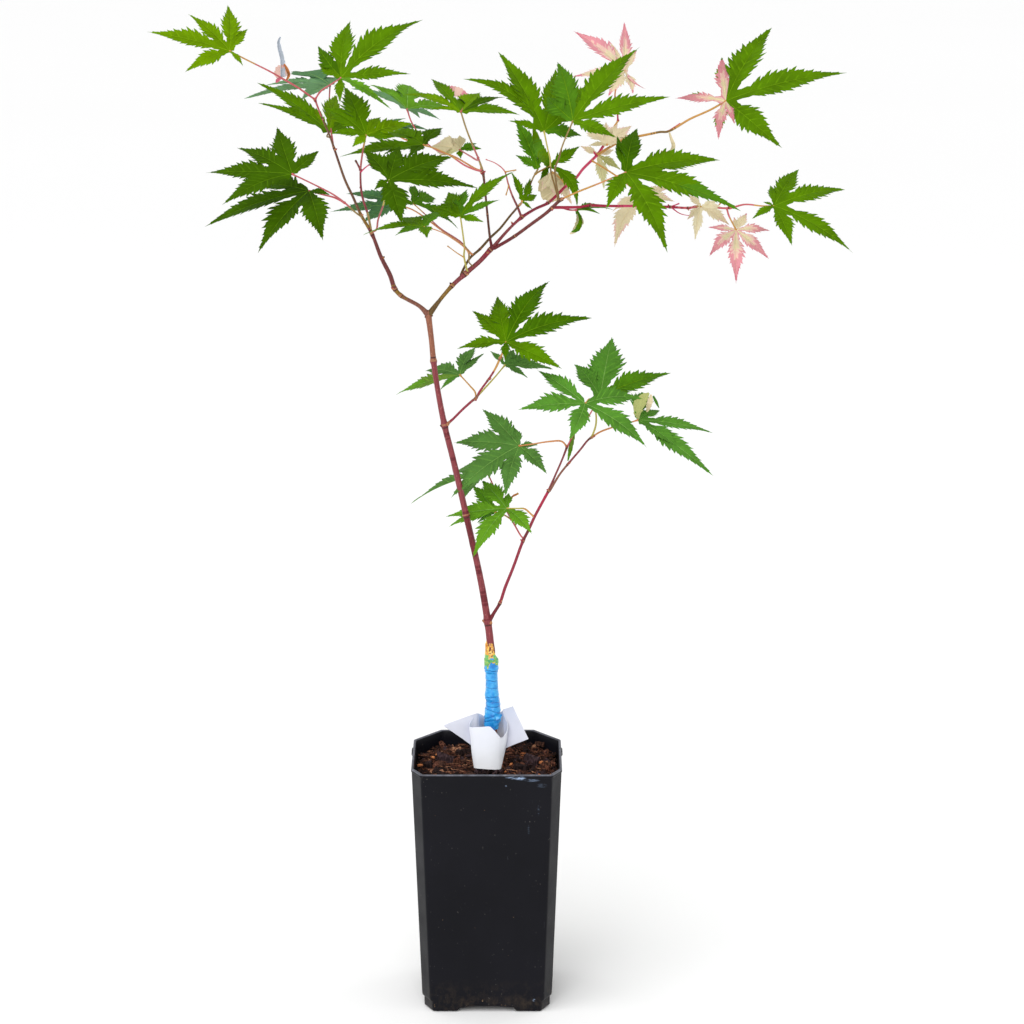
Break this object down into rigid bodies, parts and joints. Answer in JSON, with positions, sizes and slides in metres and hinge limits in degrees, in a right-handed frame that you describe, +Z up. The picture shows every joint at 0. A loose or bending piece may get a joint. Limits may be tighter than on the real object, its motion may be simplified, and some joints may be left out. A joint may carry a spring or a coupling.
{
  "type": "potted japanese maple",
  "caption": "Young grafted Japanese maple: a slim leaning stem, a wide open crown of palmate green, cream and pink leaves, in a tall square black nursery pot.",
  "frame": {"origin": "middle of the pot's flat underside, on the surface the pot stands on", "axes": "+Z up the stem, +X along the crown's widest spread to the right as seen from the front, +Y towards the back"},
  "size_m": [0.4122, 0.2237, 0.6164],
  "materials": {
    "pot": "satin",
    "potting_mix": "matte",
    "graft_wrap": "gloss",
    "label": "satin",
    "bark": "satin",
    "leaf_green": "satin",
    "leaf_blue_green": "satin",
    "leaf_mid_green": "satin",
    "leaf_cream": "satin",
    "leaf_pink": "satin"
  },
  "bodies": {
    "root": {"pot": "pot", "potting_mix": "potting_mix", "graft_wrap": "graft_wrap", "label": "label", "trunk": "bark", "bough_left": "bark", "bough_right": "bark", "shoot_upright": "bark", "shoot_upper_right": "bark", "shoot_lower_right": "bark", "shoot_level": "bark", "shoot_thin_inner": "bark", "bough_middle": "bark", "bough_low": "bark", "bough_low_left_fork": "bark", "bough_low_right_fork": "bark", "foliage_far_left": "leaf_green", "foliage_left_fan_upper": "leaf_green", "foliage_left_fan_lower": "leaf_green", "foliage_left_crown": "leaf_green", "foliage_left_bough_end": "leaf_green", "foliage_left_middle": "leaf_green", "foliage_centre_upper": "leaf_green", "foliage_centre_front": "leaf_green", "foliage_centre_low": "leaf_green", "foliage_centre_low_front": "leaf_green", "foliage_inner_fork": "leaf_green", "foliage_centre_top": "leaf_green", "foliage_small_tuft": "leaf_green", "foliage_right_crown_back": "leaf_green", "foliage_right_crown_front": "leaf_green", "foliage_tuft_left": "leaf_green", "foliage_tuft_right": "leaf_green", "foliage_edge_on": "leaf_green", "foliage_right_middle": "leaf_green", "foliage_far_right_top": "leaf_green", "foliage_far_right": "leaf_green", "foliage_middle_left": "leaf_green", "foliage_middle_small": "leaf_green", "foliage_middle_crown": "leaf_green", "foliage_lower_left": "leaf_green", "foliage_lower_left_back": "leaf_green", "foliage_left_back": "leaf_blue_green", "foliage_centre_back": "leaf_blue_green", "foliage_centre_back_small": "leaf_blue_green", "foliage_centre_low_back": "leaf_blue_green", "foliage_lower_right_front": "leaf_mid_green", "foliage_lower_right_back": "leaf_mid_green", "foliage_lower_right_end": "leaf_mid_green", "foliage_lowest": "leaf_mid_green", "foliage_lowest_back": "leaf_mid_green", "foliage_cream_centre": "leaf_cream", "foliage_cream_tuft": "leaf_cream", "foliage_cream_upper": "leaf_cream", "foliage_cream_lower": "leaf_cream", "foliage_cream_hanging": "leaf_cream", "foliage_cream_right": "leaf_cream", "foliage_pink_top": "leaf_pink", "foliage_pink_right": "leaf_pink"}
  },
  "joints": []
}
